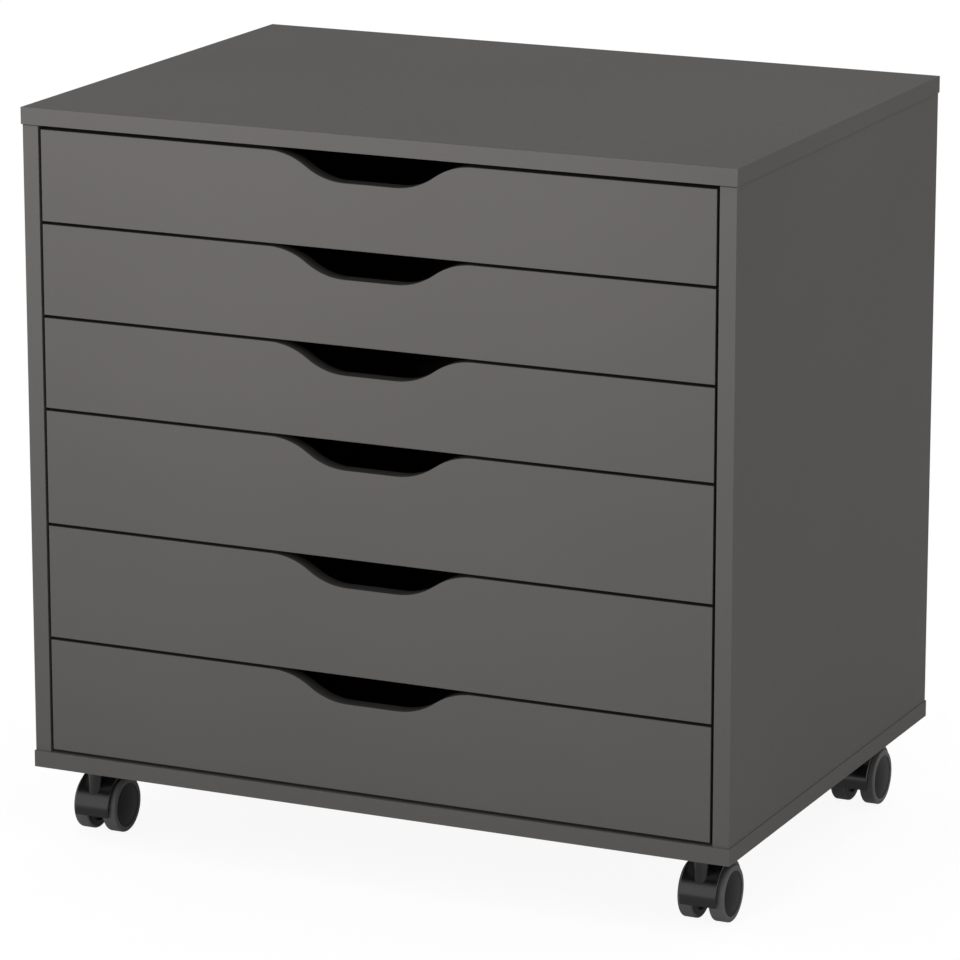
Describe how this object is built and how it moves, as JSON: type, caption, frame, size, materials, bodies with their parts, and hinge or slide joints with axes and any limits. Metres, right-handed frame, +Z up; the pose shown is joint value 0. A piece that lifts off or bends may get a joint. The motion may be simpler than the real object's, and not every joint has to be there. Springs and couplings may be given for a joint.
{
  "type": "rolling drawer cabinet",
  "caption": "Low painted-board drawer cabinet on twin-wheel casters, with inset fronts that have a curved hand grip cut into their top edges.",
  "frame": {"origin": "on the floor, under the middle of the cabinet", "axes": "+X to the right across the front, +Y from the front to the back, +Z up"},
  "size_m": [0.67, 0.48, 0.668],
  "materials": {
    "painted_board": "matte dark grey paint on particle board",
    "drawer_board": "matte dark grey foil on particle board",
    "fibreboard": "painted hard fibreboard",
    "runner_plastic": "moulded plastic",
    "zinc_fittings": "zinc plated",
    "steel": "zinc plated",
    "hood_plastic": "glossy moulded plastic",
    "wheel_plastic": "soft grey tread on a black core"
  },
  "bodies": {
    "cabinet": {"top_panel": "painted_board", "bottom_panel": "painted_board", "left_side_panel": "painted_board", "right_side_panel": "painted_board", "back_panel": "fibreboard", "left_runners": "runner_plastic", "right_runners": "runner_plastic", "cam_locks": "zinc_fittings", "cam_bolts": "zinc_fittings", "caster_screws": "steel", "front_left_caster_mount": "steel", "front_right_caster_mount": "steel", "rear_left_caster_mount": "steel", "rear_right_caster_mount": "steel"},
    "drawer_1": {"drawer_1_front": "painted_board", "drawer_1_left_side": "drawer_board", "drawer_1_right_side": "drawer_board", "drawer_1_back": "drawer_board", "drawer_1_bottom": "fibreboard"},
    "drawer_2": {"drawer_2_front": "painted_board", "drawer_2_left_side": "drawer_board", "drawer_2_right_side": "drawer_board", "drawer_2_back": "drawer_board", "drawer_2_bottom": "fibreboard"},
    "drawer_3": {"drawer_3_front": "painted_board", "drawer_3_left_side": "drawer_board", "drawer_3_right_side": "drawer_board", "drawer_3_back": "drawer_board", "drawer_3_bottom": "fibreboard"},
    "drawer_4": {"drawer_4_front": "painted_board", "drawer_4_left_side": "drawer_board", "drawer_4_right_side": "drawer_board", "drawer_4_back": "drawer_board", "drawer_4_bottom": "fibreboard"},
    "drawer_5": {"drawer_5_front": "painted_board", "drawer_5_left_side": "drawer_board", "drawer_5_right_side": "drawer_board", "drawer_5_back": "drawer_board", "drawer_5_bottom": "fibreboard"},
    "drawer_6": {"drawer_6_front": "painted_board", "drawer_6_left_side": "drawer_board", "drawer_6_right_side": "drawer_board", "drawer_6_back": "drawer_board", "drawer_6_bottom": "fibreboard"},
    "front_left_swivel": {"front_left_caster_hood": "hood_plastic", "front_left_caster_axle": "steel"},
    "front_left_left_wheel": {"front_left_caster_left_wheel": "wheel_plastic"},
    "front_left_right_wheel": {"front_left_caster_right_wheel": "wheel_plastic"},
    "front_right_swivel": {"front_right_caster_hood": "hood_plastic", "front_right_caster_axle": "steel"},
    "front_right_left_wheel": {"front_right_caster_left_wheel": "wheel_plastic"},
    "front_right_right_wheel": {"front_right_caster_right_wheel": "wheel_plastic"},
    "rear_left_swivel": {"rear_left_caster_hood": "hood_plastic", "rear_left_caster_axle": "steel"},
    "rear_left_left_wheel": {"rear_left_caster_left_wheel": "wheel_plastic"},
    "rear_left_right_wheel": {"rear_left_caster_right_wheel": "wheel_plastic"},
    "rear_right_swivel": {"rear_right_caster_hood": "hood_plastic", "rear_right_caster_axle": "steel"},
    "rear_right_left_wheel": {"rear_right_caster_left_wheel": "wheel_plastic"},
    "rear_right_right_wheel": {"rear_right_caster_right_wheel": "wheel_plastic"}
  },
  "joints": [
    {"name": "drawer_1_slide", "type": "slide", "parent": "cabinet", "child": "drawer_1", "axis": [0, -1, 0], "range_m": [0, 0.33]},
    {"name": "drawer_2_slide", "type": "slide", "parent": "cabinet", "child": "drawer_2", "axis": [0, -1, 0], "range_m": [0, 0.33]},
    {"name": "drawer_3_slide", "type": "slide", "parent": "cabinet", "child": "drawer_3", "axis": [0, -1, 0], "range_m": [0, 0.33]},
    {"name": "drawer_4_slide", "type": "slide", "parent": "cabinet", "child": "drawer_4", "axis": [0, -1, 0], "range_m": [0, 0.33]},
    {"name": "drawer_5_slide", "type": "slide", "parent": "cabinet", "child": "drawer_5", "axis": [0, -1, 0], "range_m": [0, 0.33]},
    {"name": "drawer_6_slide", "type": "slide", "parent": "cabinet", "child": "drawer_6", "axis": [0, -1, 0], "range_m": [0, 0.33]},
    {"name": "front_left_swivel_turn", "type": "hinge", "parent": "cabinet", "child": "front_left_swivel", "pos_m": [-0.2944, -0.2017, 0.06], "axis": [0, 0, 1], "continuous": true},
    {"name": "front_left_left_wheel_spin", "type": "hinge", "parent": "front_left_swivel", "child": "front_left_left_wheel", "pos_m": [-0.30875, -0.181, 0.025], "axis": [1, 0, 0], "continuous": true},
    {"name": "front_left_right_wheel_spin", "type": "hinge", "parent": "front_left_swivel", "child": "front_left_right_wheel", "pos_m": [-0.28005, -0.181, 0.025], "axis": [1, 0, 0], "continuous": true},
    {"name": "front_right_swivel_turn", "type": "hinge", "parent": "cabinet", "child": "front_right_swivel", "pos_m": [0.2944, -0.2017, 0.06], "axis": [0, 0, 1], "continuous": true},
    {"name": "front_right_left_wheel_spin", "type": "hinge", "parent": "front_right_swivel", "child": "front_right_left_wheel", "pos_m": [0.28005, -0.181, 0.025], "axis": [1, 0, 0], "continuous": true},
    {"name": "front_right_right_wheel_spin", "type": "hinge", "parent": "front_right_swivel", "child": "front_right_right_wheel", "pos_m": [0.30875, -0.181, 0.025], "axis": [1, 0, 0], "continuous": true},
    {"name": "rear_left_swivel_turn", "type": "hinge", "parent": "cabinet", "child": "rear_left_swivel", "pos_m": [-0.2944, 0.1603, 0.06], "axis": [0, 0, 1], "continuous": true},
    {"name": "rear_left_left_wheel_spin", "type": "hinge", "parent": "rear_left_swivel", "child": "rear_left_left_wheel", "pos_m": [-0.30875, 0.181, 0.025], "axis": [1, 0, 0], "continuous": true},
    {"name": "rear_left_right_wheel_spin", "type": "hinge", "parent": "rear_left_swivel", "child": "rear_left_right_wheel", "pos_m": [-0.28005, 0.181, 0.025], "axis": [1, 0, 0], "continuous": true},
    {"name": "rear_right_swivel_turn", "type": "hinge", "parent": "cabinet", "child": "rear_right_swivel", "pos_m": [0.2944, 0.1603, 0.06], "axis": [0, 0, 1], "continuous": true},
    {"name": "rear_right_left_wheel_spin", "type": "hinge", "parent": "rear_right_swivel", "child": "rear_right_left_wheel", "pos_m": [0.28005, 0.181, 0.025], "axis": [1, 0, 0], "continuous": true},
    {"name": "rear_right_right_wheel_spin", "type": "hinge", "parent": "rear_right_swivel", "child": "rear_right_right_wheel", "pos_m": [0.30875, 0.181, 0.025], "axis": [1, 0, 0], "continuous": true}
  ]
}
